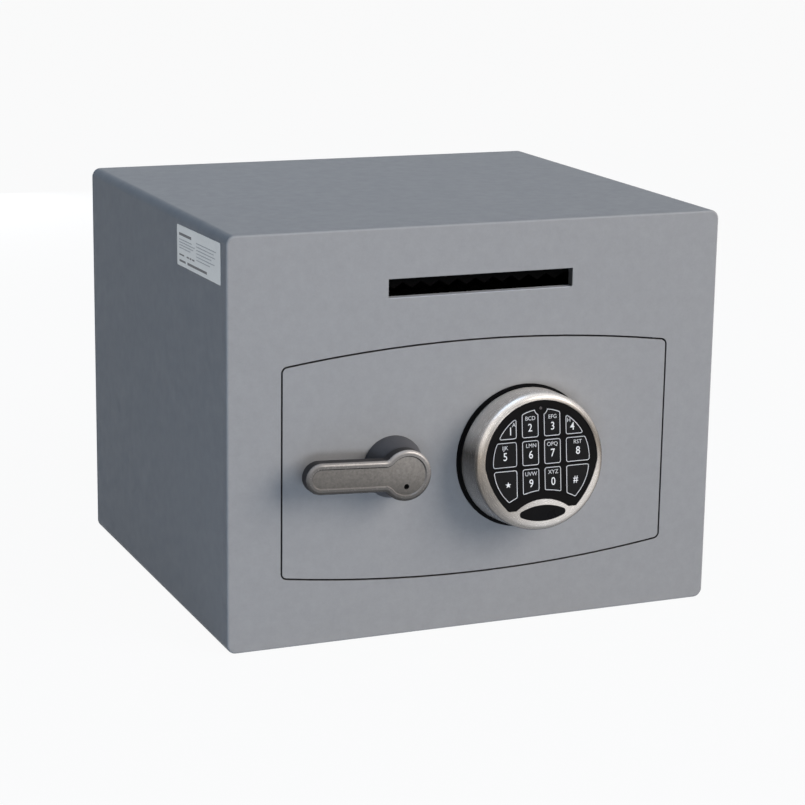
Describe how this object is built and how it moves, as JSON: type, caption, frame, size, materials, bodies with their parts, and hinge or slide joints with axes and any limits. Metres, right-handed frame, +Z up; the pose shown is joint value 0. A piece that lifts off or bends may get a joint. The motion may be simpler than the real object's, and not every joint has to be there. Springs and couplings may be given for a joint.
{
  "type": "drop safe",
  "caption": "Double-walled steel drop safe with a deposit slot over a flush bowed door that carries a tilted round keypad and a lever driving round bolts.",
  "frame": {"origin": "middle of the cabinet's footprint, on the plane of its floor", "axes": "+Z up, +X to the right seen from the front, -Y out of the front; the door hinges at +X"},
  "size_m": [0.4504, 0.4372, 0.352],
  "materials": {
    "cabinet_paint": "satin grey powder coat",
    "inner_paint": "satin grey powder coat",
    "barrier": "light resin-bonded infill",
    "mat": "ribbed mat",
    "steel": "machined steel",
    "black_plastic": "moulded",
    "label": "bare pale foil",
    "zinc": "die cast",
    "boss": "satin",
    "keypad_metal": "satin plated",
    "face_black": "satin",
    "oval_black": "gloss",
    "led": "clear lens, unlit",
    "board": "coated board",
    "lever_nickel": "satin nickel plate",
    "screw_dark": "blackened",
    "bronze": "machined",
    "key_black": "satin"
  },
  "bodies": {
    "cabinet": {"front_plate": "cabinet_paint", "body_wrap": "cabinet_paint", "back_plate": "cabinet_paint", "barrier_fill": "barrier", "liner": "inner_paint", "floor_mat": "mat", "hinge_pins": "steel", "chute": "inner_paint", "baffle": "inner_paint", "comb_upper": "inner_paint", "comb_lower": "inner_paint", "anchor_sleeves": "steel", "anchor_plugs": "black_plastic", "side_label": "label"},
    "door": {"door_plate": "cabinet_paint", "hard_plate": "steel", "door_case": "inner_paint", "case_cover": "inner_paint", "cover_screws": "steel", "dog_bolts": "steel", "guide_studs": "steel", "lock_case": "zinc", "lock_lid": "zinc", "lock_screws": "steel", "lever_boss": "boss", "cable_tube": "steel", "pad_ring": "black_plastic", "pad_housing": "keypad_metal", "pad_face": "face_black", "pad_oval": "oval_black", "pad_led": "led", "pad_board": "board"},
    "lever": {"lever": "lever_nickel", "lever_screw": "screw_dark", "spindle": "steel", "cam": "steel", "cam_nut": "steel"},
    "carriage": {"bolt_carriage": "steel", "locking_bolts": "steel", "cam_pin": "steel"},
    "lock_bolt": {"lock_bolt": "bronze"},
    "key_1_button": {"key_1": "key_black"},
    "key_2_button": {"key_2": "key_black"},
    "key_3_button": {"key_3": "key_black"},
    "key_4_button": {"key_4": "key_black"},
    "key_5_button": {"key_5": "key_black"},
    "key_6_button": {"key_6": "key_black"},
    "key_7_button": {"key_7": "key_black"},
    "key_8_button": {"key_8": "key_black"},
    "key_9_button": {"key_9": "key_black"},
    "key_0_button": {"key_0": "key_black"},
    "key_star_button": {"key_star": "key_black"},
    "key_hash_button": {"key_hash": "key_black"}
  },
  "joints": [
    {"name": "door_hinge", "type": "hinge", "parent": "cabinet", "child": "door", "pos_m": [0.16675, -0.1935, 0.15], "axis": [0, 0, 1], "range_deg": [0, 95]},
    {"name": "lever_turn", "type": "hinge", "parent": "door", "child": "lever", "pos_m": [-0.0787, -0.2, 0.1492], "axis": [0, -1, 0], "range_deg": [0, 90]},
    {"name": "bolt_throw", "type": "slide", "parent": "door", "child": "carriage", "axis": [-1, 0, 0], "range_m": [0, 0.014]},
    {"name": "lock_bolt_drop", "type": "slide", "parent": "door", "child": "lock_bolt", "axis": [0, 0, -1], "range_m": [0, 0.007]},
    {"name": "key_1_press", "type": "slide", "parent": "door", "child": "key_1_button", "axis": [0, 0.9949, -0.1011], "range_m": [0, 0.0006], "stiffness_N_per_m": 1500, "springref_m": -0.0003},
    {"name": "key_2_press", "type": "slide", "parent": "door", "child": "key_2_button", "axis": [0, 0.9949, -0.1011], "range_m": [0, 0.0006], "stiffness_N_per_m": 1500, "springref_m": -0.0003},
    {"name": "key_3_press", "type": "slide", "parent": "door", "child": "key_3_button", "axis": [0, 0.9949, -0.1011], "range_m": [0, 0.0006], "stiffness_N_per_m": 1500, "springref_m": -0.0003},
    {"name": "key_4_press", "type": "slide", "parent": "door", "child": "key_4_button", "axis": [0, 0.9949, -0.1011], "range_m": [0, 0.0006], "stiffness_N_per_m": 1500, "springref_m": -0.0003},
    {"name": "key_5_press", "type": "slide", "parent": "door", "child": "key_5_button", "axis": [0, 0.9949, -0.1011], "range_m": [0, 0.0006], "stiffness_N_per_m": 1500, "springref_m": -0.0003},
    {"name": "key_6_press", "type": "slide", "parent": "door", "child": "key_6_button", "axis": [0, 0.9949, -0.1011], "range_m": [0, 0.0006], "stiffness_N_per_m": 1500, "springref_m": -0.0003},
    {"name": "key_7_press", "type": "slide", "parent": "door", "child": "key_7_button", "axis": [0, 0.9949, -0.1011], "range_m": [0, 0.0006], "stiffness_N_per_m": 1500, "springref_m": -0.0003},
    {"name": "key_8_press", "type": "slide", "parent": "door", "child": "key_8_button", "axis": [0, 0.9949, -0.1011], "range_m": [0, 0.0006], "stiffness_N_per_m": 1500, "springref_m": -0.0003},
    {"name": "key_9_press", "type": "slide", "parent": "door", "child": "key_9_button", "axis": [0, 0.9949, -0.1011], "range_m": [0, 0.0006], "stiffness_N_per_m": 1500, "springref_m": -0.0003},
    {"name": "key_0_press", "type": "slide", "parent": "door", "child": "key_0_button", "axis": [0, 0.9949, -0.1011], "range_m": [0, 0.0006], "stiffness_N_per_m": 1500, "springref_m": -0.0003},
    {"name": "key_star_press", "type": "slide", "parent": "door", "child": "key_star_button", "axis": [0, 0.9949, -0.1011], "range_m": [0, 0.0006], "stiffness_N_per_m": 1500, "springref_m": -0.0003},
    {"name": "key_hash_press", "type": "slide", "parent": "door", "child": "key_hash_button", "axis": [0, 0.9949, -0.1011], "range_m": [0, 0.0006], "stiffness_N_per_m": 1500, "springref_m": -0.0003}
  ],
  "couplings": [
    {"joint": "bolt_throw", "follows": "lever_turn", "m_per_rad": 0.0089127},
    {"joint": "lock_bolt_drop", "follows": "lever_turn", "m_per_rad": 0.0044563}
  ]
}
